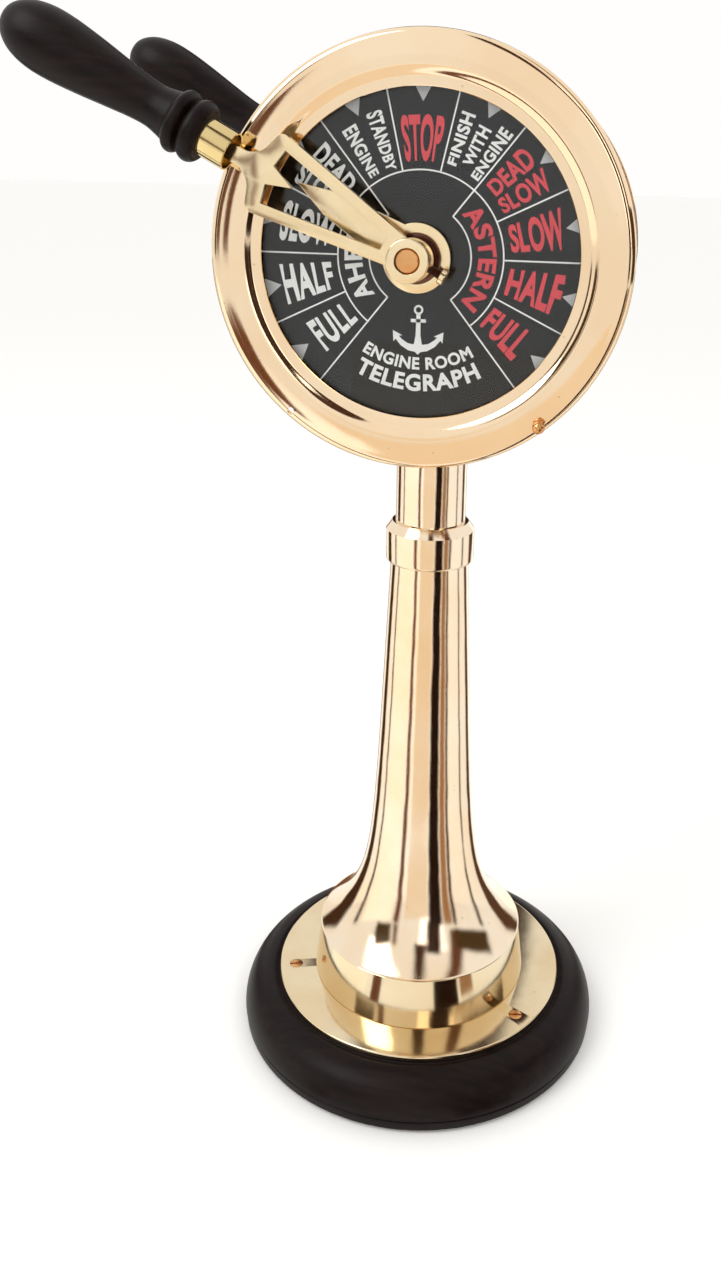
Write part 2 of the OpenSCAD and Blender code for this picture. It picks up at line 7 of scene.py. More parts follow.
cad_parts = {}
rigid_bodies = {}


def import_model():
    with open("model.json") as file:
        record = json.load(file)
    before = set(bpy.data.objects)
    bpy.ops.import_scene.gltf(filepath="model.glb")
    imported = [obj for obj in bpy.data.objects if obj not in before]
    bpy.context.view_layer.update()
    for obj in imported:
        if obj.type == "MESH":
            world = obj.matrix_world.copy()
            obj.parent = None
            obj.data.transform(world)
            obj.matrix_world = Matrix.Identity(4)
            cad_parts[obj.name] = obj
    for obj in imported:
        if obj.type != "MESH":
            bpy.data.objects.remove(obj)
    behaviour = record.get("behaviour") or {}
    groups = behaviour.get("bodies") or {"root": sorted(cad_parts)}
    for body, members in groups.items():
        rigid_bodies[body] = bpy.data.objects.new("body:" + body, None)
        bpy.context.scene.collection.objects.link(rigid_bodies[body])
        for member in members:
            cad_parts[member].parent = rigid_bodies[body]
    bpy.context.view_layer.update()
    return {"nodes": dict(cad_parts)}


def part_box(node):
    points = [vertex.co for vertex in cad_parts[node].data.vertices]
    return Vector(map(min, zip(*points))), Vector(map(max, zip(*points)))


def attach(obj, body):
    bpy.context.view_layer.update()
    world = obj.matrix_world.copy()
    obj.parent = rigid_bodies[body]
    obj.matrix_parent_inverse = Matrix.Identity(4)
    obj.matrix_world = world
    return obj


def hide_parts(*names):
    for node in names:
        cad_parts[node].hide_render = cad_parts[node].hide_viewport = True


bl_info = {
    "name": "Ship Engine Telegraph",
    "version": (1, 0, 0),
    "blender": (4, 5, 0),
    "location": "3D View > Sidebar > Telegraph",
    "description": "Polished brass order telegraph with two levers and a turned wooden base",
    "category": "Object",
}

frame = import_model()
MM = 0.001
TOUCHING = 0.002 * MM  # corners nearer than this are one corner
FRONT, REAR = -1, 1
SIDES = {"front": FRONT, "rear": REAR}

# places in mm, out from the middle of the head
DIAL_FACE = 51.602
HUB_MIDDLE = 68.55
LEVER_MIDDLE = 74.5
HALF_SLOT = 0.6  # half the width of a driver's slot
SCREW_CLOCK = 141  # bezel screws, in degrees from the top
BEZEL_SCREW_CIRCLE = 105
FLANGE_SCREW_CIRCLE = 80.8


def span(node, axis):
    """Lowest and highest place of a frame node along one axis."""
    low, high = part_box(node)
    return low[axis], high[axis]


def half_width(node):
    """Half of what a frame node measures from left to right."""
    low, high = span(node, 0)
    return (high - low) / 2


def linear(code):
    """A colour as sRGB hex, turned linear."""
    parts = [int(code[i : i + 2], 16) / 255 for i in (1, 3, 5)]
    return tuple(c / 12.92 if c <= 0.04045 else ((c + 0.055) / 1.055) ** 2.4 for c in parts)


# ---- sizes and colours ----


def length(name, description, default):
    """A size in metres that the user can change."""
    return bpy.props.FloatProperty(
        name=name, description=description, default=default, min=0.0, unit="LENGTH", precision=5
    )


def turn(name, description, degrees):
    """An angle that the user can change."""
    return bpy.props.FloatProperty(
        name=name, description=description, default=math.radians(degrees), unit="ROTATION"
    )


def colour(name, description, code):
    """A colour that the user can change, given as sRGB hex."""
    return bpy.props.FloatVectorProperty(
        name=name, description=description, default=linear(code), subtype="COLOR", size=3, min=0, max=1
    )


class TelegraphSizes(bpy.types.PropertyGroup):
    """Main sizes of the telegraph, taken from the frame where it has them"""

    shaft_height: length("Shaft height", "Lever shaft above the table", sum(span("main_shaft", 2)) / 2)
    base_radius: length("Base radius", "Wooden base across its quarter round", half_width("wood_base"))
    base_height: length("Base height", "Top of the wooden base", span("wood_base", 2)[1])
    flange_radius: length("Flange radius", "Brass plate on the base", half_width("base_flange"))
    flange_top: length("Flange top", "Top of the brass plate", span("base_flange", 2)[1])
    foot_radius: length("Foot radius", "Foot band where it stands on the flange", half_width("foot_band"))
    foot_top: length("Foot top", "Top of the foot band", span("foot_band", 2)[1])
    collar_radius: length("Collar radius", "Collar between trumpet and neck", half_width("collar"))
    neck_radius: length("Neck radius", "Neck tube under the head", half_width("neck_tube"))
    bezel_radius: length("Bezel radius", "Outside of each bezel", half_width("front_bezel"))
    face_out: length("Bezel face", "Bezel face from the middle of the head", span("rear_bezel", 1)[1])
    lever_angle: turn("Lever angle", "Levers from upright, towards AHEAD", 61.8)
    pointer_angle: turn("Pointer angle", "Reply pointers from upright, towards AHEAD", 60.3)
    print_height: length("Print height", "Thickness of the dial's screen print", 0.00006)


class TelegraphFinishes(bpy.types.PropertyGroup):
    """Base colours of the metals, the wood and the dial"""

    brass: colour("Polished brass", "Bezels, column and base metal", "#F8E0BF")
    column_brass: colour("Column brass", "Trumpet, collar and neck", "#F6E4CC")
    cast_brass: colour("Cast brass", "Base flange and foot band", "#EAD9B8")
    lever_brass: colour("Lever brass", "Flat rolled plate of the levers", "#F6E3BE")
    tube_brass: colour("Tube brass", "Drawn tubes that hold the grips", "#E2CC94")
    copper: colour("Shaft bronze", "Lever shaft and its bushes", "#E9B67E")
    wood: colour("Dark wood", "Stained and lacquered base and grips", "#110706")
    dial: colour("Dial enamel", "Black enamel of both dials", "#0A0A0D")
    white_print: colour("White print", "AHEAD words and lines", "#FBFBF9")
    red_print: colour("Red print", "ASTERN words", "#E23A48")


def sizes():
    """The scene's sizes."""
    return bpy.context.scene.telegraph_sizes


def finishes():
    """The scene's colours."""
    return bpy.context.scene.telegraph_finishes


# ---- shaping, in mm ----


def clear_selection():
    """Leaves edit mode and selects nothing."""
    if bpy.context.object and bpy.context.object.mode == "EDIT":
        bpy.ops.object.mode_set(mode="OBJECT")
    bpy.ops.object.select_all(action="DESELECT")


def select_only(*objects):
    """Selects these objects alone, the first one active."""
    clear_selection()
    for item in objects:
        item.select_set(True)
    bpy.context.view_layer.objects.active = objects[0]


def trace(points):
    """In edit mode, draws a chain of edges through points by extruding one corner."""
    points = [Vector(p) * MM for p in points]
    bpy.ops.mesh.select_all(action="DESELECT")
    bpy.ops.mesh.primitive_plane_add(size=0.002, location=points[0])
    bpy.ops.mesh.merge(type="CENTER")
    for here, there in zip(points, points[1:]):
        bpy.ops.mesh.extrude_vertices_move(TRANSFORM_OT_translate={"value": there - here})


def begin(name):
    """A new piece at the origin, empty and in edit mode."""
    clear_selection()
    bpy.ops.mesh.primitive_plane_add(size=0.002, location=(0, 0, 0))
    piece = bpy.context.object
    piece.name = name
    bpy.ops.object.mode_set(mode="EDIT")
    bpy.ops.mesh.select_all(action="SELECT")
    bpy.ops.mesh.delete(type="VERT")
    return piece


def merge_all():
    """In edit mode, selects everything and merges what meets."""
    bpy.ops.mesh.select_all(action="SELECT")
    bpy.ops.mesh.remove_doubles(threshold=TOUCHING)


def raise_up(height):
    """In edit mode, extrudes what is selected upwards, by a height in metres."""
    bpy.ops.mesh.extrude_region_move(TRANSFORM_OT_translate={"value": (0, 0, height)})


def face_outwards():
    """In edit mode, points every face outwards, and leaves edit mode."""
    bpy.ops.mesh.select_all(action="SELECT")
    bpy.ops.mesh.normals_make_consistent(inside=False)
    bpy.ops.object.mode_set(mode="OBJECT")


def close_up():
    """Merges what meets and points every face outwards."""
    merge_all()
    face_outwards()


def lathe(name, outline, steps=144):
    """Spins (radius, height) points about z."""
    piece = begin(name)
    trace([(r, 0, h) for r, h in outline])
    bpy.ops.mesh.select_all(action="SELECT")
    bpy.ops.mesh.spin(steps=steps, angle=math.tau, center=(0, 0, 0), axis=(0, 0, 1))
    close_up()
    return piece


def ring_outline(inner, outer, low, high, edge=0.3):
    """A turned ring's section with its corners broken."""
    return [
        (inner, low + edge), (inner + edge, low), (outer - edge, low), (outer, low + edge),
        (outer, high - edge), (outer - edge, high), (inner + edge, high), (inner, high - edge),
        (inner, low + edge),
    ]


def plate(name, loops, low, high):
    """A flat plate cut to an outline, with any further loops as holes."""
    piece = begin(name)
    for loop in loops:
        trace([(x, y, low) for x, y in loop + loop[:1]])
    merge_all()
    bpy.ops.mesh.fill()
    bpy.ops.mesh.select_all(action="SELECT")
    raise_up((high - low) * MM)
    close_up()
    return piece


def driver_slot(bottom, angle):
    """A long thin block that cuts a driver's slot down to a height, turned about z."""
    slot = begin("slot")
    corners = [(-6, -HALF_SLOT), (6, -HALF_SLOT), (6, HALF_SLOT), (-6, HALF_SLOT), (-6, -HALF_SLOT)]
    trace([(x, y, bottom) for x, y in corners])
    merge_all()
    bpy.ops.mesh.edge_face_add()
    raise_up(3 * MM)
    close_up()
    return put(slot, Matrix.Rotation(angle, 4, "Z"))


def soften(piece, width, segments=2, angle=40):
    """Rounds the edges sharper than an angle."""
    bevel = piece.modifiers.new("Edges", "BEVEL")
    bevel.width = width * MM
    bevel.segments = segments
    bevel.limit_method = "ANGLE"
    bevel.angle_limit = math.radians(angle)
    select_only(piece)
    bpy.ops.object.modifier_apply(modifier=bevel.name)


def cut(piece, cutter):
    """Takes the cutter's shape out of a piece."""
    difference = piece.modifiers.new("Cut", "BOOLEAN")
    difference.operation = "DIFFERENCE"
    difference.solver = "EXACT"
    difference.object = cutter
    select_only(piece)
    bpy.ops.object.modifier_apply(modifier=difference.name)
    bpy.data.objects.remove(cutter)


def put(piece, matrix):
    """Moves a piece by a matrix and keeps its place in its mesh."""
    piece.matrix_world = matrix
    select_only(piece)
    bpy.ops.object.transform_apply(location=True, rotation=True, scale=True)
    if matrix.determinant() < 0:
        bpy.ops.object.mode_set(mode="EDIT")
        face_outwards()
    return piece


def copy(piece, name):
    """A second piece with a mesh of its own."""
    twin = piece.copy()
    twin.data = piece.data.copy()
    twin.name = name
    bpy.context.collection.objects.link(twin)
    return twin


def paint(part, material):
    """Gives part of a piece a finish of its own, which stays when it is joined."""
    part.data.materials.clear()
    part.data.materials.append(material)
    return part


def joined(name, *pieces):
    """Joins pieces into the first one."""
    select_only(*pieces)
    if len(pieces) > 1:
        bpy.ops.object.join()
    pieces[0].name = name
    return pieces[0]


def finish(piece, body, material, slot, *nodes, angle=32):
    """Shades a piece, gives it its finish and lets it ride on its body."""
    select_only(piece)
    bpy.ops.object.shade_smooth_by_angle(angle=math.radians(angle))
    if material:
        paint(piece, material)
    piece.data.name = piece.name
    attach(piece, body)
    if nodes:
        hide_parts(*nodes)
    return piece


def arc(x, y, radius, start, end, steps=8):
    """Points along an arc about (x, y), its angles in degrees."""
    turns = [math.radians(start + (end - start) * i / steps) for i in range(steps + 1)]
    return [(x + radius * math.cos(a), y + radius * math.sin(a)) for a in turns]


def spline(keys, steps=5):
    """A smooth curve through a few stations."""
    points = []
    last = len(keys) - 1
    for i in range(last):
        a, b, c, d = (Vector(keys[max(0, min(last, i + k))]) for k in (-1, 0, 1, 2))
        for step in range(steps):
            t = step / steps
            curve = 2 * b + (c - a) * t + (2 * a - 5 * b + 4 * c - d) * t**2
            points.append(tuple(0.5 * (curve + (3 * b - a - 3 * c + d) * t**3)))
    return points + [tuple(keys[last])]


def on_head(side):
    """Local x to the right, y up and z out of the head's face. The rear is the front's mirror image."""
    height = Matrix.Translation((0, 0, sizes().shaft_height))
    return height @ Matrix(((1, 0, 0, 0), (0, 0, side, 0), (0, 1, 0, 0), (0, 0, 0, 1)))


def facing(side):
    """As on_head, but turned round for the rear, so that letters read from behind."""
    return on_head(FRONT) if side == FRONT else Matrix.Rotation(math.pi, 4, "Z") @ on_head(FRONT)


def on_lever(side):
    """As on_head, but with x along the lever at rest."""
    return on_head(side) @ Matrix.Rotation(math.pi / 2 + sizes().lever_angle, 4, "Z")


def along_lever(side):
    """Local z runs out along the lever, in the middle of its thickness."""
    out = Matrix.Translation((0, 0, LEVER_MIDDLE * MM))
    return on_lever(side) @ out @ Matrix.Rotation(math.pi / 2, 4, "Y")


def across_hub():
    """Local z points away from the lever, through the middle of its hub."""
    return Matrix.Translation((0, 0, HUB_MIDDLE * MM)) @ Matrix.Rotation(-math.pi / 2, 4, "Y")


# ---- finishes ----


def add(tree, kind, links=(), **settings):
    """Adds a node, sets its values and links its inputs from other nodes' outputs."""
    node = tree.nodes.new(kind)
    for key, value in settings.items():
        if hasattr(node, key):
            setattr(node, key, value)
        else:
            node.inputs[key.replace("_", " ")].default_value = value
    for name, source in dict(links).items():
        tree.links.new(source, node.inputs[name])
    return node


def blank(name):
    """A new material with only its output, and its tree."""
    material = bpy.data.materials.new(name)
    material.use_nodes = True
    tree = material.node_tree
    tree.nodes.clear()
    return material, tree


def rgba(value, factor=1.0):
    """A linear colour, lightened or darkened by a factor."""
    return tuple(min(1, c * factor) for c in value[:3]) + (1,)


def ramp(tree, source, stops):
    """A colour ramp over a source, as (place, colour) stops."""
    node = add(tree, "ShaderNodeValToRGB", {"Fac": source})
    node.color_ramp.elements[0].position, node.color_ramp.elements[0].color = stops[0]
    node.color_ramp.elements[1].position, node.color_ramp.elements[1].color = stops[-1]
    for place, value in stops[1:-1]:
        node.color_ramp.elements.new(place).color = value
    return node


def metal(name, base, tarnish, roughness, scratch=0.02, stretch=(1, 1, 1), specks=0.35):
    """Brass or bronze: slow clouds of tarnish, fine polishing lines and a few dark pinholes."""
    material, tree = blank(name)
    place = add(tree, "ShaderNodeTexCoord").outputs["Object"]
    # clouds of tarnish about 50 mm across
    clouds = add(tree, "ShaderNodeTexNoise", {"Vector": place}, Scale=20.0, Detail=4.0)
    tint = ramp(tree, clouds.outputs["Fac"], [(0.35, rgba(base)), (0.75, rgba(tarnish))])
    # pinholes in the casting, one every 9 mm or so and under 0.5 mm wide
    pits = add(tree, "ShaderNodeTexVoronoi", {"Vector": place}, Scale=110.0)
    dots = ramp(tree, pits.outputs["Distance"], [(0.035, (specks,) * 3 + (1,)), (0.07, (0, 0, 0, 1))])
    colour_mix = add(
        tree, "ShaderNodeMix", {6: tint.outputs["Color"], 0: dots.outputs["Color"]},
        data_type="RGBA", blend_type="MIX",
    )
    colour_mix.inputs[7].default_value = (0.16, 0.08, 0.03, 1)
    # wiped polish, in patches about 12 mm across
    wipes = add(tree, "ShaderNodeTexNoise", {"Vector": place}, Scale=80.0, Detail=6.0)
    rough = add(
        tree, "ShaderNodeMapRange", {"Value": wipes.outputs["Fac"]},
        To_Min=roughness * 0.7, To_Max=roughness * 1.4,
    )
    # polishing lines 0.4 mm apart, coarser than the real ones so that they show
    lines_at = add(tree, "ShaderNodeMapping", {"Vector": place}, Scale=tuple(2500 * s for s in stretch))
    lines = add(tree, "ShaderNodeTexNoise", {"Vector": lines_at.outputs["Vector"]}, Scale=1.0, Detail=2.0)
    waves = add(tree, "ShaderNodeTexNoise", {"Vector": place}, Scale=45.0, Detail=1.0)
    height = add(
        tree, "ShaderNodeMath", {0: lines.outputs["Fac"], 2: waves.outputs["Fac"]},
        operation="MULTIPLY_ADD",
    )
    height.inputs[1].default_value = 0.06
    bump = add(tree, "ShaderNodeBump", {"Height": height.outputs[0]}, Strength=scratch, Distance=0.002)
    shader = add(
        tree, "ShaderNodeBsdfPrincipled",
        {"Base Color": colour_mix.outputs[2], "Roughness": rough.outputs[0], "Normal": bump.outputs[0]},
        Metallic=1.0,
    )
    add(tree, "ShaderNodeOutputMaterial", {"Surface": shader.outputs[0]})
    return material


def cached(maker):
    """Makes each material once."""
    made = {}

    def get():
        if "it" not in made:
            made["it"] = maker()
        return made["it"]

    return get


@cached
def polished_brass():
    """Spun and cast brass, buffed to a mirror: peach highlights that darken to brown in the turns."""
    return metal("buffed_brass", finishes().brass, linear("#F3D5AE"), 0.07, 0.05)


@cached
def column_brass():
    """Spun sheet brass of the column, the palest and best kept: it mirrors the room in wavering stripes."""
    return metal("spun_sheet_brass", finishes().column_brass, linear("#F1D4AC"), 0.065, 0.16)


@cached
def cast_brass():
    """Turned brass casting, polished less than the rest: a flatter, greyer gold."""
    return metal("turned_cast_brass", finishes().cast_brass, linear("#E0C8A0"), 0.1, 0.05)


@cached
def rolled_brass():
    """Rolled brass plate, hand polished: a little yellower, with short straight lines."""
    return metal("rolled_brass_plate", finishes().lever_brass, linear("#F0D7A8"), 0.16, 0.05, (1, 1, 0.1))


@cached
def shade_painted_bronze():
    """Turned bronze, dark brown all over: painted shade for the hub, the pointer collars and the screw
    shanks in the narrow gap between lever and pointer.
    """
    return metal("shade_painted_turned_bronze", linear("#7A5546"), linear("#5C3D33"), 0.2, 0.08)


@cached
def drawn_brass():
    """Drawn brass tube under clear lacquer: the most yellow of the metals."""
    return metal("lacquered_drawn_brass", finishes().tube_brass, linear("#D0B478"), 0.12, 0.05)


@cached
def turned_bronze():
    """Turned bronze, coppery and duller, with cut marks on its end."""
    return metal("turned_bronze", finishes().copper, linear("#D2935C"), 0.24, 0.25)


@cached
def turned_steel():
    """Plain turned steel, grey and slightly dull."""
    return metal("turned_steel", linear("#A7A9AC"), linear("#8C8E92"), 0.3, 0.08, specks=0.1)


@cached
def dark_wood():
    """Close-grained hardwood, stained nearly black and lacquered: brown lines under a soft sheen."""
    material, tree = blank("stained_lacquered_hardwood")
    place = add(tree, "ShaderNodeTexCoord").outputs["Object"]
    base = finishes().wood
    # growth lines 4 mm apart, drawn out 15 times longer along the board
    grain_at = add(tree, "ShaderNodeMapping", {"Vector": place}, Scale=(16, 240, 240))
    grain = add(tree, "ShaderNodeTexNoise", {"Vector": grain_at.outputs[0]}, Scale=1.0, Detail=5.0)
    tint = ramp(
        tree, grain.outputs["Fac"],
        [(0.3, rgba(base, 0.55)), (0.5, rgba(base)), (0.72, rgba(base, 1.9))],
    )
    # open pores 0.3 mm wide and a few mm long
    pores_at = add(tree, "ShaderNodeMapping", {"Vector": place}, Scale=(260, 3000, 3000))
    pores = add(tree, "ShaderNodeTexNoise", {"Vector": pores_at.outputs[0]}, Scale=1.0, Detail=2.0)
    bump = add(tree, "ShaderNodeBump", {"Height": pores.outputs["Fac"]}, Strength=0.12, Distance=0.0004)
    rough = add(tree, "ShaderNodeMapRange", {"Value": grain.outputs["Fac"]}, To_Min=0.34, To_Max=0.5)
    # IOR lowered from a lacquer's usual 1.5, so that the wood comes out as dark as the real one
    shader = add(
        tree, "ShaderNodeBsdfPrincipled",
        {"Base Color": tint.outputs["Color"], "Roughness": rough.outputs[0], "Normal": bump.outputs[0]},
        Coat_Weight=0.02, Coat_Roughness=0.2, IOR=1.24,
    )
    add(tree, "ShaderNodeOutputMaterial", {"Surface": shader.outputs[0]})
    return material


def matt(name, base, roughness, grain, depth, ior=1.5):
    """A plain finish with a fine even grain in its colour and surface; grain is its size in mm."""
    material, tree = blank(name)
    place = add(tree, "ShaderNodeTexCoord").outputs["Object"]
    fine = add(tree, "ShaderNodeTexNoise", {"Vector": place}, Scale=1000 / grain, Detail=3.0)
    tint = ramp(tree, fine.outputs["Fac"], [(0.3, rgba(base, 0.86)), (0.7, rgba(base, 1.1))])
    bump = add(tree, "ShaderNodeBump", {"Height": fine.outputs["Fac"]}, Strength=depth, Distance=0.0003)
    shader = add(
        tree, "ShaderNodeBsdfPrincipled", {"Base Color": tint.outputs["Color"], "Normal": bump.outputs[0]},
        Roughness=roughness, IOR=ior,
    )
    add(tree, "ShaderNodeOutputMaterial", {"Surface": shader.outputs[0]})
    return material


@cached
def dial_enamel():
    """Stoved black enamel on sheet: deep and smooth; a low IOR keeps it black behind the glass."""
    return matt("stoved_black_enamel", finishes().dial, 0.3, 6.0, 0.004, ior=1.2)


@cached
def white_ink():
    """White screen ink, flat and slightly grainy."""
    return matt("white_screen_ink", finishes().white_print, 0.55, 0.6, 0.1)


@cached
def red_ink():
    """Red screen ink over black, flat and slightly grainy."""
    return matt("red_screen_ink", finishes().red_print, 0.55, 0.6, 0.1)


@cached
def silver_ink():
    """Silver grey screen ink of the order marks."""
    return matt("silver_screen_ink", linear("#D0D0D2"), 0.5, 0.6, 0.1)


@cached
def black_rubber():
    """Moulded black rubber, dull with a fine grain."""
    return matt("moulded_black_rubber", linear("#1B1B1C"), 0.7, 0.8, 0.25)


@cached
def black_paint():
    """Brushed black paint inside the head."""
    return matt("brushed_black_paint", linear("#18181A"), 0.55, 3.0, 0.2)


@cached
def wool_felt():
    """Pressed wool felt, hairy and without any gloss."""
    return matt("pressed_wool_felt", linear("#2C3A2E"), 0.95, 0.9, 0.8)


@cached
def clear_glass():
    """Flat drawn window glass, faintly green, with the slow waves of a cheap pane."""
    material, tree = blank("drawn_window_glass")
    place = add(tree, "ShaderNodeTexCoord").outputs["Object"]
    # waves 60 mm long and almost flat
    waves = add(tree, "ShaderNodeTexNoise", {"Vector": place}, Scale=16.0, Detail=0.0)
    bump = add(tree, "ShaderNodeBump", {"Height": waves.outputs["Fac"]}, Strength=0.05, Distance=0.001)
    # IOR lowered from window glass's usual 1.52, which keeps the pale room off the dial
    shader = add(
        tree, "ShaderNodeBsdfPrincipled", {"Normal": bump.outputs[0]},
        Base_Color=(0.99, 1.0, 0.995, 1), Roughness=0.0, IOR=1.36, Transmission_Weight=1.0,
    )
    add(tree, "ShaderNodeOutputMaterial", {"Surface": shader.outputs[0]})
    return material


# ---- base and column ----


class TELEGRAPH_OT_base(bpy.types.Operator):
    """Turn the wooden base"""

    bl_idname = "telegraph.base"
    bl_label = "Wooden base"

    def execute(self, context):
        s = sizes()
        radius, top = s.base_radius / MM, s.base_height / MM
        quarter = 21.4
        low = span("wood_base", 2)[0] / MM
        outline = [(0, low), (radius - 1.6, low), (radius - 0.9, low + 0.3), (radius - 0.6, low + 1)]
        # scribed groove over the plinth band
        outline += [(radius - 0.6, 6.6), (radius - 0.8, 6.9), (radius - 1.4, 7.3), (radius - 0.8, 7.7)]
        outline += arc(radius - quarter, top - quarter, quarter, 0, 84, 24)
        outline += [(s.flange_radius / MM + 1.2, top - 0.8), (s.flange_radius / MM + 0.6, top), (0, top)]
        piece = lathe("turned_base", outline, 192)
        finish(piece, "stand", dark_wood(), "dark_wood", "wood_base", angle=28)
        return {"FINISHED"}


class TELEGRAPH_OT_flange(bpy.types.Operator):
    """Turn the brass flange, countersink it and drive its slotted screws"""

    bl_idname = "telegraph.flange"
    bl_label = "Base flange and screws"

    def execute(self, context):
        s = sizes()
        radius, low, top = s.flange_radius / MM, s.base_height / MM, s.flange_top / MM
        outline = [(30, low), (radius - 0.4, low), (radius, low + 0.4)]
        outline += arc(radius - 0.9, top - 0.9, 0.9, 0, 90, 5)
        outline += [(30, top), (30, low)]
        flange = lathe("base_flange_plate", outline, 192)
        screws = []
        for number, angle in enumerate((-162, -31.4, 83)):
            out = Matrix.Translation((FLANGE_SCREW_CIRCLE * MM, 0, 0))
            where = Matrix.Rotation(math.radians(angle), 4, "Z") @ out
            sink = [(0, top - 2.6), (2.1, top - 2.6), (4.15, top - 0.2), (4.15, top + 1), (0, top + 1)]
            cut(flange, put(lathe("sink", sink, 48), where))
            cone = [(0, top - 2.5), (2.05, top - 2.5), (3.85, top - 0.35), (3.9, top - 0.1)]
            head = lathe("head", cone + [(3.7, top), (0, top + 0.12)], 48)
            # each screw stopped at a turn of its own
            cut(head, driver_slot(top - 1, 0.7 * number))
            screws.append(put(head, where))
        finish(flange, "stand", cast_brass(), "brass", "base_flange")
        piece = joined("flange_slotted_screws", *screws)
        finish(piece, "stand", turned_bronze(), "brass", "flange_screws")
        return {"FINISHED"}


class TELEGRAPH_OT_column(bpy.types.Operator):
    """Spin the foot band, trumpet, collar and neck"""

    bl_idname = "telegraph.column"
    bl_label = "Trumpet column"

    def execute(self, context):
        s = sizes()
        low, foot = s.flange_top / MM, s.foot_top / MM
        foot_r = s.foot_radius / MM
        lip_r = half_width("pedestal") / MM
        shoulder = span("collar", 2)[0] / MM
        # radius under the collar, what the long cone adds to it, and how fast the flare dies away
        top_r, taper, flare_length = 23.2, 11.2, 22.4
        flare = lip_r - top_r - taper

        band = [(foot_r - 2.4, low), (foot_r - 0.6, low), (foot_r - 0.5, low + 0.35), (foot_r, low + 0.6)]
        # a fine open joint under the trumpet's lip shows as a dark line
        band += [(lip_r - 0.5, foot - 0.8), (lip_r - 0.8, foot - 0.5), (lip_r - 2.9, foot - 0.5)]
        band += [(foot_r - 2.4, low)]
        finish(lathe("foot_band_ring", band, 192), "stand", cast_brass(), "brass", "foot_band")

        def radius(height):
            rise = (shoulder - height) / (shoulder - foot)
            return top_r + taper * rise + flare * math.exp(-(height - foot) / flare_length)

        skin = [foot + (shoulder - foot) * (i / 90) ** 2 for i in range(1, 91)]
        outline = [(lip_r - 5, foot - 6), (lip_r - 3.2, foot - 6), (lip_r - 3.2, foot)]
        outline += [(lip_r - 0.2, foot + 0.02), (lip_r, foot + 0.25)]
        outline += [(radius(z), z) for z in skin if z > foot + 0.3]
        outline += [(radius(z) - 2.6, z) for z in reversed(skin[10:])] + [(lip_r - 5, foot - 6)]
        finish(lathe("trumpet_column", outline, 192), "stand", column_brass(), "brass", "pedestal")

        collar_r, top = s.collar_radius / MM, span("collar", 2)[1] / MM
        neck_r = s.neck_radius / MM
        outline = [(neck_r + 0.05, shoulder)] + arc(collar_r - 2, shoulder + 2, 2, -90, 0, 8)
        outline += [(collar_r, top - 5), (collar_r - 0.25, top - 4.6), (neck_r + 2.1, top - 0.1)]
        outline += [(neck_r + 1.8, top), (neck_r + 0.05, top), (neck_r + 0.05, shoulder)]
        finish(lathe("neck_collar", outline, 160), "stand", column_brass(), "brass", "collar")
        return {"FINISHED"}


# ---- head ----


class TELEGRAPH_OT_drum(bpy.types.Operator):
    """Spin the drum with its two rims and dial ledges"""

    bl_idname = "telegraph.drum"
    bl_label = "Head drum"

    def execute(self, context):
        # half of the section, from the middle out to the rim and back along the dial's ledge
        half = [(99.5, 0), (99.5, 54.6), (99.8, 55), (102.3, 55), (102.6, 55.3), (102.6, 57.7)]
        half += [(102.3, 58), (96.8, 58), (96.5, 57.7), (96.5, 50), (84.2, 50), (84, 49.8), (84, 47.2)]
        half += [(84.2, 47), (96.5, 47), (96.5, 0)]
        back = [(r, -h) for r, h in reversed(half)][1:-1]
        drum = lathe("head_drum", half + back + half[:1], 192)
        put(drum, on_head(FRONT))
        finish(drum, "stand", polished_brass(), "brass", "head_casing")
        return {"FINISHED"}


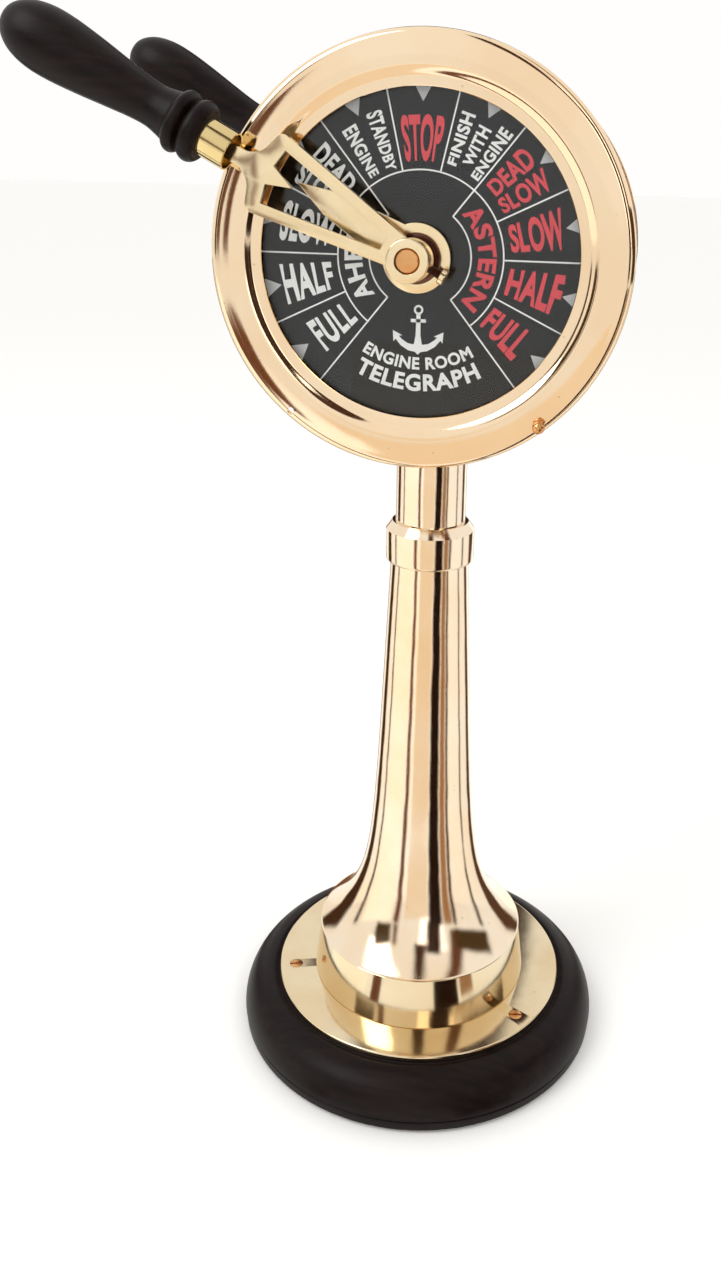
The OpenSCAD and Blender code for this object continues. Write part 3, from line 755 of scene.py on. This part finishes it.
class TELEGRAPH_OT_bezels(bpy.types.Operator):
    """Spin both bezels, drill them and fit their ball-headed screws"""

    bl_idname = "telegraph.bezels"
    bl_label = "Bezels and ball screws"

    def execute(self, context):
        s = sizes()
        window, outer, face = 82, s.bezel_radius / MM, s.face_out / MM
        lip_back, rim, sheet = 58.9, 4.1, 1.6
        bend_x, bend_z = outer - rim, face - rim - 0.2
        outline = [(window, lip_back + 0.2), (window, lip_back + 0.8), (window + 0.3, lip_back + 1.1)]
        # an ogee rises from the lip to a soft shoulder
        step_foot, shoulder, lip, crown = window + 4.5, window + 11, lip_back + 1.6, 0.3
        for i in range(17):
            t = i / 16
            rise = (face - crown - lip) * (1 - math.cos(math.pi * t)) / 2
            outline.append((step_foot + 4.5 * t + 2 * t**3, lip + rise))
        # and a broad face, crowned by a fraction of a millimetre, runs out to the rolled rim
        for i in range(1, 12):
            t = i / 12
            bulge = crown * math.sin(math.pi * t)
            outline.append((shoulder + (bend_x - shoulder) * t, face - crown + bulge))
        outline += arc(bend_x, bend_z, rim, 88, 0, 18)
        outline += [(outer, 56.8), (outer - 0.3, 56.5), (outer - sheet, 56.5)]
        outline += arc(bend_x, bend_z, rim - sheet, 0, 88, 10)
        outline += [(window + 10, face - 1.9), (window + 7.8, lip_back + 1), (window + 3.9, lip_back)]
        outline += [(window + 0.2, lip_back), (window, lip_back + 0.2)]
        blank_ring = lathe("bezel_blank", outline, 240)
        hole = [(0, 54), (1.9, 54), (1.9, 66), (0, 66)]
        at = {}
        for clock in (-SCREW_CLOCK, SCREW_CLOCK):
            turned = Matrix.Rotation(math.radians(90 + clock), 4, "Z")
            at[clock] = turned @ Matrix.Translation((BEZEL_SCREW_CIRCLE * MM, 0, 0))
            cut(blank_ring, put(lathe("drill", hole, 40), at[clock]))
        balls = []
        # neck with two small steps under a ball flattened a little where it is held
        neck = [(0, 56), (1.7, 56), (1.7, 62.9), (2.5, 63.1), (2.6, 63.4), (2.6, 63.9)]
        neck += [(1.9, 64.2), (1.75, 64.5)]
        ball = arc(0, 67.3, 3.3, -58, 90, 16)
        ball[-1] = (0, 70.6)
        for name, side in SIDES.items():
            ring = copy(blank_ring, name + "_bezel_ring")
            put(ring, on_head(side))
            finish(ring, "stand", polished_brass(), "brass", name + "_bezel", angle=24)
            # one screw of the front bezel is lost, and its hole is left open
            for clock in (-SCREW_CLOCK,) if side == FRONT else (-SCREW_CLOCK, SCREW_CLOCK):
                screw = lathe("ball_screw", neck + ball, 40)
                balls.append(put(screw, on_head(side) @ at[clock]))
        bpy.data.objects.remove(blank_ring)
        piece = joined("bezel_ball_screws", *balls)
        finish(piece, "stand", turned_bronze(), "brass", "bezel_screws", angle=50)
        return {"FINISHED"}


# ---- dial print ----


def polar(radius, clock):
    """A place on the dial; clock is in degrees from the top, to the right."""
    a = math.radians(clock)
    return radius * math.sin(a), radius * math.cos(a)


def lettering(text, place):
    """A word as flat letters, fitted to a unit box and then placed point by point."""
    clear_selection()
    bpy.ops.object.text_add(location=(0, 0, 0))
    word = bpy.context.object
    word.data.body = text
    word.data.offset = 0.036  # thickens the strokes
    word.data.resolution_u = 5
    word.data.space_character = 1.08
    bpy.ops.object.convert(target="MESH")
    word = bpy.context.object
    bpy.ops.object.mode_set(mode="EDIT")
    bpy.ops.mesh.select_all(action="SELECT")
    bpy.ops.mesh.remove_doubles(threshold=0.0001)
    bpy.ops.object.mode_set(mode="OBJECT")
    xs = [v.co.x for v in word.data.vertices]
    ys = [v.co.y for v in word.data.vertices]
    for v in word.data.vertices:
        x = (v.co.x - min(xs)) / (max(xs) - min(xs))
        y = (v.co.y - min(ys)) / (max(ys) - min(ys))
        v.co = Vector((*place(x, y), 0)) * MM
    return word


def order_word(text, clock, half_height, inner, outer):
    """A word along a radius: it reads inwards left of the dial's middle and outwards right of it."""

    def place(x, y):
        if clock < 0:
            return polar(outer + (inner - outer) * x, clock + half_height * (2 * y - 1))
        return polar(inner + (outer - inner) * x, clock - half_height * (2 * y - 1))

    return lettering(text, place)


def arc_word(text, clock, half_width_deg, inner, outer, tops_out=True):
    """A word along an arc, its tops away from the shaft, or towards it along the bottom."""

    def place(x, y):
        if tops_out:
            return polar(inner + (outer - inner) * y, clock + half_width_deg * (2 * x - 1))
        return polar(outer + (inner - outer) * y, clock - half_width_deg * (2 * x - 1))

    return lettering(text, place)


def flat(name, outline):
    """A filled flat shape on the dial."""
    piece = begin(name)
    for loop in outline:
        trace([(x, y, 0) for x, y in list(loop) + [loop[0]]])
    merge_all()
    bpy.ops.mesh.fill()
    bpy.ops.object.mode_set(mode="OBJECT")
    return piece


def arc_line(radius, start, end, width=0.8):
    """A printed line along an arc."""
    steps = max(4, int(abs(end - start) / 3))
    clocks = [start + (end - start) * i / steps for i in range(steps + 1)]
    outside = [polar(radius + width / 2, c) for c in clocks]
    inside = [polar(radius - width / 2, c) for c in reversed(clocks)]
    return flat("line", [outside + inside])


def ray_line(clock, start, end, width=0.8):
    """A printed line along a radius, as wide at one end as at the other."""
    half = [math.degrees(width / 2 / r) for r in (start, end)]
    return flat("line", [[
        polar(start, clock - half[0]), polar(end, clock - half[1]),
        polar(end, clock + half[1]), polar(start, clock + half[0]),
    ]])


def anchor():
    """A plain stocked anchor: ring, stock, shank and two flukes."""
    ring = flat("anchor", [arc(0, -26.6, 2.5, 0, 350, 24), arc(0, -26.6, 1.4, 0, 350, 24)])
    stock = flat("stock", [[(-4, -31.3), (4, -31.3), (4, -33.1), (-4, -33.1)]])
    right = [(1.1, -28.8), (1.3, -40), (2.2, -44.6), (5.6, -44), (8.6, -42), (10.2, -40.4)]
    right += [(8.3, -40.1), (13.4, -37.6), (13, -43.4), (11.9, -42), (9, -45.4), (5, -47.8), (1.6, -48.4)]
    body = right + [(0, -49.8)] + [(-x, y) for x, y in reversed(right)]
    return [ring, stock, flat("shank", [body])]


class TELEGRAPH_OT_dials(bpy.types.Operator):
    """Print both dials with the usual generic engine orders"""

    bl_idname = "telegraph.dials"
    bl_label = "Dial print"

    def execute(self, context):
        # the scale has fourteen parts, and its sectors lie between the outer ring and the edge
        step, inner_ring, outer_ring, edge = 360 / 14, 26.5, 43.1, 86
        for name, side in SIDES.items():
            ahead = -1 if side == FRONT else 1
            white, red, silver = [], [], []
            white.append(arc_line(outer_ring, -5.5 * step, 5.5 * step))
            for half in (-1, 1):
                white.append(arc_line(inner_ring, half * 1.5 * step, half * 5.5 * step))
                for place in (0.5, 1.5, 2.5, 3.5, 4.5, 5.5):
                    start = inner_ring if place in (1.5, 5.5) else outer_ring
                    white.append(ray_line(half * place * step, start, edge))
            for place in range(-5, 6):
                clock = place * step
                corners = [polar(84, clock - 3.3), polar(84, clock + 3.3), polar(75.4, clock)]
                silver.append(flat("mark", [corners]))
            red.append(arc_word("STOP", 0, 9.8, 47, 69.5))
            for text, at, half_height, start, end in (
                ("STANDBY", 19.7, 3.3, 45, 74.5), ("ENGINE", 31.2, 3.3, 46, 73),
            ):
                white.append(order_word(text, ahead * at, half_height, start, end))
            for text, at, start, end in (
                ("FINISH", 18.2, 48, 74), ("WITH", 26.4, 51, 71), ("ENGINE", 34.2, 47.5, 75.5),
            ):
                white.append(order_word(text, -ahead * at, 2.9, start, end))
            for half, ink in ((ahead, white), (-ahead, red)):
                ink.append(order_word("DEAD", half * 46.3, 4.6, 49, 74.5))
                ink.append(order_word("SLOW", half * 57.3, 4.6, 48, 75.5))
                ink.append(order_word("SLOW", half * 77.1, 8.2, 47, 75))
                ink.append(order_word("HALF", half * 102.9, 8.2, 47, 75))
                ink.append(order_word("FULL", half * 128.6, 7.6, 46, 70.5))
            white.append(arc_word("AHEAD", ahead * 90, 40, 30.2, 39.8))
            red.append(arc_word("ASTERN", -ahead * 88.5, 45, 30.2, 39.8))
            white.append(arc_word("ENGINE ROOM", 180, 31, 51.2, 57.8, tops_out=False))
            white.append(arc_word("TELEGRAPH", 180, 29.5, 60, 69.2, tops_out=False))
            white += anchor()
            for ink, shapes, material in (
                ("white", white, white_ink()), ("red", red, red_ink()), ("silver", silver, silver_ink()),
            ):
                print_piece = joined("%s_dial_%s_print" % (name, ink), *shapes)
                select_only(print_piece)
                bpy.ops.object.mode_set(mode="EDIT")
                bpy.ops.mesh.select_all(action="SELECT")
                raise_up(sizes().print_height)
                face_outwards()
                put(print_piece, facing(side) @ Matrix.Translation((0, 0, DIAL_FACE * MM)))
                finish(print_piece, "stand", material, "dial_enamel", angle=20)
        return {"FINISHED"}


# ---- pointers, shaft and levers ----


class TELEGRAPH_OT_pointers(bpy.types.Operator):
    """Cut the reply pointers and turn their collars"""

    bl_idname = "telegraph.pointers"
    bl_label = "Reply pointers"

    def execute(self, context):
        bore_r, disc_r = 8.05, 17.5
        bore = arc(0, 0, bore_r, 0, 352.5, 47)
        # the blade leaves the disc 11.3 mm to each side of its middle line
        join = math.degrees(math.asin(11.3 / disc_r))
        blade = [(52, -6.5), (71.5, 0), (52, 6.5)]
        outline = arc(0, 0, disc_r, join, 360 - join, 56) + blade
        for name, side in SIDES.items():
            body = plate("blade", [outline, bore], 59.6, 62)
            soften(body, 0.35, 3, 30)
            rim = lathe("rim", ring_outline(bore_r, 12.8, 61.9, 63.6, 0.35), 96)
            paint(body, rolled_brass())
            # the collar's dark brown is painted shade from the gap between pointer and lever
            paint(rim, shade_painted_bronze())
            piece = joined(name + "_spear_pointer", body, rim)
            put(piece, on_head(side) @ Matrix.Rotation(math.pi / 2 + sizes().pointer_angle, 4, "Z"))
            finish(piece, name + "_pointer", None, "brass", name + "_pointer")
        return {"FINISHED"}


class TELEGRAPH_OT_levers(bpy.types.Operator):
    """Cut the forked levers and turn their bosses and hubs"""

    bl_idname = "telegraph.levers"
    bl_label = "Levers"

    def execute(self, context):
        # half of the fork's edge: a leg, the wide end of the fork, and a scoop down to the tang
        scoop = arc(99.3, 15.5, 11.4, 195, 270, 16)
        edge = [(2, 7.3), (80.5, 20.6), (83, 20.8), (85, 20.2), (86.6, 17.6), (87.8, 14)] + scoop
        edge += [(118, 4.1)]
        outline = edge + [(x, -y) for x, y in reversed(edge)]
        # the opening between the legs, with the cross bar's arrow pointing inwards
        window = [(15.8, -3.75), (79.5, -14.3), (81.4, -4.9), (68.5, 0)]
        window += [(81.4, 4.9), (79.5, 14.3), (15.8, 3.75)]
        bore = 5.85
        for name, side in SIDES.items():
            body = plate("fork", [outline, window], 72.5, 76.5)
            shaft_room = lathe("shaft_room", [(0, 60), (9, 60), (9, 90), (0, 90)], 64)
            cut(body, shaft_room)
            soften(body, 0.45, 3, 34)
            boss_line = [(bore, 72.3), (10.5, 72.3), (10.8, 72.6)] + arc(10, 85.2, 0.8, 0, 90, 5)
            # a shallow counterbore leaves a dark ring round the shaft's end
            boss_line += [(bore + 0.65, 86), (bore + 0.4, 85.8), (bore + 0.4, 83.5)]
            boss_line += [(bore, 83.3), (bore, 72.3)]
            boss = lathe("boss", boss_line, 96)
            hub = lathe("hub", ring_outline(bore, 9.7, 64.6, 72.8, 0.4), 96)
            tapped = lathe("tapped", [(0, 0), (2.5, 0), (2.5, 14), (0, 14)], 40)
            cut(hub, put(tapped, across_hub()))
            paint(body, rolled_brass())
            paint(boss, rolled_brass())
            # the hub's dark brown is painted shade from the gap between lever and pointer
            paint(hub, shade_painted_bronze())
            piece = joined(name + "_fork_lever", body, boss, hub)
            put(piece, on_lever(side))
            finish(piece, "levers", None, "brass", name + "_lever", angle=30)
        return {"FINISHED"}


class TELEGRAPH_OT_shaft(bpy.types.Operator):
    """Turn the lever shaft and its set screws"""

    bl_idname = "telegraph.shaft"
    bl_label = "Shaft and set screws"

    def execute(self, context):
        end = span("main_shaft", 1)[1] / MM
        outline = [(0, -end), (4.9, -end), (5.2, -end + 0.06), (5.8, -end + 0.75), (5.8, 0)]
        outline += [(5.8, end - 0.75), (5.2, end - 0.06), (4.9, end), (0, end)]
        shaft = put(lathe("lever_shaft", outline, 96), on_head(FRONT))
        finish(shaft, "levers", turned_bronze(), "brass_bronze", "main_shaft")
        screws = []
        for side in SIDES.values():
            # rolled thread, 1 mm pitch, under a slotted cheese head
            line = [(0, 5.9), (2.2, 5.9)]
            for turn_number in range(9):
                rise = 6.4 + turn_number
                line += [(2.05, rise), (2.5, rise + 0.45), (2.5, rise + 0.55)]
            # the shank's dark brown is painted shade from the gap between the lever's boss and the pointer
            shank = paint(lathe("shank", line + [(2.05, 15.5), (0, 15.5)], 40), shade_painted_bronze())
            line = [(0, 15.4), (3.9, 15.4), (4.35, 15.8), (4.35, 18.0)]
            line += [(4.2, 18.3), (3.8, 18.5), (0, 18.5)]
            screw = paint(lathe("set_screw", line, 48), rolled_brass())
            cut(screw, driver_slot(17.2, math.radians(90)))
            screws += [put(part, on_lever(side) @ across_hub()) for part in (screw, shank)]
        piece = joined("lever_slotted_set_screws", *screws)
        finish(piece, "levers", None, "brass", "lever_set_screws", angle=24)
        return {"FINISHED"}


class TELEGRAPH_OT_grips(bpy.types.Operator):
    """Turn the wooden grips and their brass tubes"""

    bl_idname = "telegraph.grips"
    bl_label = "Grips and tubes"

    def execute(self, context):
        # two beads, then the long swell of the hand grip
        wood = [(9.95, 121), (9.95, 118.3), (11.1, 118.3), (11.4, 118.6)]
        wood += [(r, h) for h, r in arc(123.4, 10.9, 5.1, 168, 12, 18)]
        wood += [(13.0, 129.2)] + [(r, h) for h, r in arc(132.8, 12.8, 3.5, 168, 8, 14)]
        stations = [(137, 13.2), (141, 12.1), (148, 10.9), (157, 11.3), (170, 12.9), (187, 15.1)]
        stations += [(203, 16.6), (215, 16.4), (225, 13.9), (232, 9.2), (235, 4), (235.8, 0)]
        wood += [(max(r, 0), h) for h, r in spline(stations, 7)]
        # the blind bore's floor lies behind the tube's end
        wood = [(0, 149.5), (9.95, 149.5)] + wood
        for name, side in SIDES.items():
            grip = put(lathe(name + "_turned_grip", wood, 128), along_lever(side))
            finish(grip, "levers", dark_wood(), "dark_wood", name + "_grip", angle=50)
            tube = lathe(name + "_tube", ring_outline(8.9, 9.9, 103.6, 149.4, 0.25), 96)
            put(tube, along_lever(side))
            finish(tube, "levers", drawn_brass(), "brass", name + "_grip_tube")
        return {"FINISHED"}


class TELEGRAPH_OT_frame_finishes(bpy.types.Operator):
    """Give every other piece of the frame its real finish"""

    bl_idname = "telegraph.frame_finishes"
    bl_label = "Finishes of the other pieces"

    def execute(self, context):
        kinds = {
            wool_felt: ["felt_pad"],
            clear_glass: ["front_glass", "rear_glass"],
            dial_enamel: ["front_dial", "rear_dial"],
            black_paint: ["front_spacer", "rear_spacer"],
            black_rubber: ["front_gasket", "rear_gasket", "pointer_washers"],
            turned_steel: [
                "saddle_screws", "tie_rod", "tie_washers", "tie_nuts", "bridge_screws",
                "friction_washers", "wheel_pin", "gong_screw", "striker_spring",
            ],
            turned_bronze: ["front_bush", "rear_bush"],
            column_brass: ["neck_tube"],
            polished_brass: ["neck_saddle", "gong"],
            rolled_brass: [
                "bezel_clips", "front_bridge", "rear_bridge", "shaft_collars", "trip_wheel",
                "tang_plugs", "gong_post", "striker_post", "striker_arm", "striker_hammer",
            ],
        }
        for maker, nodes in kinds.items():
            for node in nodes:
                paint(frame["nodes"][node], maker())
        return {"FINISHED"}


# ---- stage ----


def card(name, azimuth, spread, distance, low, high, code, floor_from=None, strength=1.0):
    """A studio card round the object, seen only in its reflections; it may run in along the floor."""
    clear_selection()
    piece = begin(name)
    edges = [math.radians(azimuth + side * spread / 2) for side in (-1, 1)]
    ways = [Vector((math.sin(a), -math.cos(a), 0)) for a in edges]
    up = Vector((0, 0, 1))
    rows = [[way * distance + up * z for way in ways] for z in (high, low)]
    if floor_from is not None:
        rows.append([way * floor_from + up * low for way in ways])
    for (a, b), (c, d) in zip(rows, rows[1:]):
        trace([p / MM for p in (a, b, d, c, a)])
        bpy.ops.mesh.select_linked()
        bpy.ops.mesh.remove_doubles(threshold=TOUCHING)
        bpy.ops.mesh.edge_face_add()
    bpy.ops.object.mode_set(mode="OBJECT")
    material, tree = blank(name + "_board")
    shader = add(tree, "ShaderNodeEmission", Strength=strength)
    shader.inputs["Color"].default_value = rgba(linear(code))
    add(tree, "ShaderNodeOutputMaterial", {"Surface": shader.outputs[0]})
    piece.data.materials.append(material)
    piece.visible_camera = False
    piece.visible_diffuse = False
    piece.visible_shadow = False
    piece.visible_transmission = False


def lamp(name, azimuth, elevation, distance, size, power, code="#FFFFFF"):
    """A rectangular soft light that looks at the middle of the column."""
    a, e = math.radians(azimuth), math.radians(elevation)
    back = Vector((math.sin(a) * math.cos(e), -math.cos(a) * math.cos(e), math.sin(e)))
    bpy.ops.object.light_add(type="AREA", location=Vector((0, 0, 0.3)) + back * distance)
    light = bpy.context.object
    light.name = name
    light.data.shape = "RECTANGLE"
    light.data.size, light.data.size_y = size
    light.data.energy = power
    light.data.color = linear(code)
    light.rotation_euler = back.to_track_quat("Z", "Y").to_euler()


class TELEGRAPH_OT_stage(bpy.types.Operator):
    """Set the floor, the soft light and the camera"""

    bl_idname = "telegraph.stage"
    bl_label = "Floor, light and camera"

    def execute(self, context):
        scene = context.scene
        clear_selection()
        # wide enough to reach the horizon, and a hair under the felt
        bpy.ops.mesh.primitive_circle_add(
            vertices=96, radius=60, fill_type="NGON", location=(0, 0, -0.0004)
        )
        floor = bpy.context.object
        floor.name = "floor"
        bpy.ops.object.transform_apply(location=True)
        board, tree = blank("pale_paper_floor")
        shader = add(tree, "ShaderNodeBsdfPrincipled", Roughness=0.9, Specular_IOR_Level=0.1)
        shader.inputs["Base Color"].default_value = rgba(linear("#FBFBFA"))
        add(tree, "ShaderNodeOutputMaterial", {"Surface": shader.outputs[0]})
        floor.data.materials.append(board)

        world = bpy.data.worlds.new("soft_room")
        scene.world = world
        world.use_nodes = True
        sky = world.node_tree.nodes["Background"]
        sky.inputs["Color"].default_value = (1.0, 0.99, 0.975, 1)
        sky.inputs["Strength"].default_value = 1.0
        lamp("window_softbox", -48, 42, 2.2, (0.9, 1.5), 16)
        lamp("fill_softbox", 28, 22, 2.6, (1.6, 1.6), 9, "#FFF6EA")

        # flags and a bright window draw the stripes that polished brass shows indoors
        card("window_card", -58, 44, 1.1, 0.003, 0.34, "#FFFCF4", 0.14, 1.3)
        for name, azimuth, spread, distance, low, high, code, floor_from in (
            ("left_flag", -27, 8, 1.0, 0.001, 0.34, "#70462F", 0.13),
            ("warm_wall", 3, 36, 1.15, 0.002, 0.30, "#FBEBD6", 0.36),
            ("right_flag", 34, 21, 1.0, 0.001, 0.36, "#26170F", 0.13),
            ("brown_flag", 53, 12, 1.0, 0.002, 0.34, "#A8805C", 0.16),
            ("far_left_flag", -88, 5, 1.0, 0.002, 0.34, "#4A3A2A", 0.2),
            ("second_flag", 64, 6, 1.0, 0.002, 0.34, "#4E3426", 0.3),
            ("far_right_flag", 104, 5, 1.0, 0.001, 0.34, "#4A3A2A", 0.3),
            # doors and walls, which only the flare and the bezels see
            ("door_card", 31, 20, 1.2, 0.37, 1.2, "#35201A", None),
            ("second_door_card", 12, 17, 1.2, 0.9, 4.0, "#4A3226", None),
            ("leg_card", 63, 18, 1.2, 0.5, 3.6, "#6A4532", None),
            ("shelf_card", -26, 6, 1.2, 0.42, 0.95, "#6A4532", None),
            ("right_wall", 84, 46, 0.9, 0.37, 0.7, "#4E3C26", None),
            ("left_wall", -44, 22, 1.2, 0.41, 0.9, "#4A3A20", None),
            # the same kind of stripes for the sides and the back
            ("back_flag_140", 140, 16, 1.1, 0.001, 0.4, "#5A4030", 0.14),
            ("back_flag_186", 186, 22, 1.1, 0.001, 0.4, "#2A1A12", 0.14),
            ("back_flag_214", 214, 7, 1.1, 0.001, 0.4, "#7A5236", 0.14),
            ("back_flag_243", 243, 18, 1.1, 0.001, 0.4, "#46301F", 0.14),
        ):
            card(name, azimuth, spread, distance, low, high, code, floor_from)
        card("back_window_card", 163, 18, 1.1, 0.003, 0.4, "#FFFCF4", 0.14, 1.3)
        card("back_door_card", 188, 24, 1.3, 0.5, 1.8, "#3A2620")

        # 36 mm sensor on the long side, looking down 15.8 degrees and a little to the left
        data = bpy.data.cameras.new("view")
        data.lens = 31.73
        data.sensor_width = 36
        data.shift_x = -0.0542
        data.shift_y = -0.1095
        data.clip_start = 0.02
        camera = bpy.data.objects.new("view", data)
        scene.collection.objects.link(camera)
        camera.location = (0.1099, -0.6298, 0.5293)
        heading, pitch, roll = math.radians(9.957), math.radians(-15.843), math.radians(1.504)
        turned = Matrix.Rotation(heading, 4, "Z") @ Matrix.Rotation(math.pi / 2 + pitch, 4, "X")
        camera.rotation_euler = (turned @ Matrix.Rotation(roll, 4, "Z")).to_euler()
        scene.camera = camera
        scene.view_settings.view_transform = "Standard"
        return {"FINISHED"}


OPERATORS = [
    TELEGRAPH_OT_base,
    TELEGRAPH_OT_flange,
    TELEGRAPH_OT_column,
    TELEGRAPH_OT_drum,
    TELEGRAPH_OT_bezels,
    TELEGRAPH_OT_dials,
    TELEGRAPH_OT_pointers,
    TELEGRAPH_OT_levers,
    TELEGRAPH_OT_shaft,
    TELEGRAPH_OT_grips,
    TELEGRAPH_OT_frame_finishes,
    TELEGRAPH_OT_stage,
]


class TELEGRAPH_PT_panel(bpy.types.Panel):
    """Sizes, colours and one button for each step"""

    bl_idname = "TELEGRAPH_PT_panel"
    bl_label = "Engine telegraph"
    bl_space_type = "VIEW_3D"
    bl_region_type = "UI"
    bl_category = "Telegraph"

    def draw(self, context):
        for group in (context.scene.telegraph_sizes, context.scene.telegraph_finishes):
            box = self.layout.box()
            for name in group.__annotations__:
                box.prop(group, name)
        for operator in OPERATORS:
            self.layout.operator(operator.bl_idname)


CLASSES = [TelegraphSizes, TelegraphFinishes, *OPERATORS, TELEGRAPH_PT_panel]


def register():
    """Adds the classes and the scene's settings."""
    for item in CLASSES:
        bpy.utils.register_class(item)
    bpy.types.Scene.telegraph_sizes = bpy.props.PointerProperty(type=TelegraphSizes)
    bpy.types.Scene.telegraph_finishes = bpy.props.PointerProperty(type=TelegraphFinishes)


def unregister():
    """Takes them away again."""
    del bpy.types.Scene.telegraph_finishes
    del bpy.types.Scene.telegraph_sizes
    for item in reversed(CLASSES):
        bpy.utils.unregister_class(item)


def main():
    """Builds every piece in order."""
    register()
    for operator in OPERATORS:
        group, name = operator.bl_idname.split(".")
        getattr(getattr(bpy.ops, group), name)()


if __name__ == "__main__":
    main()
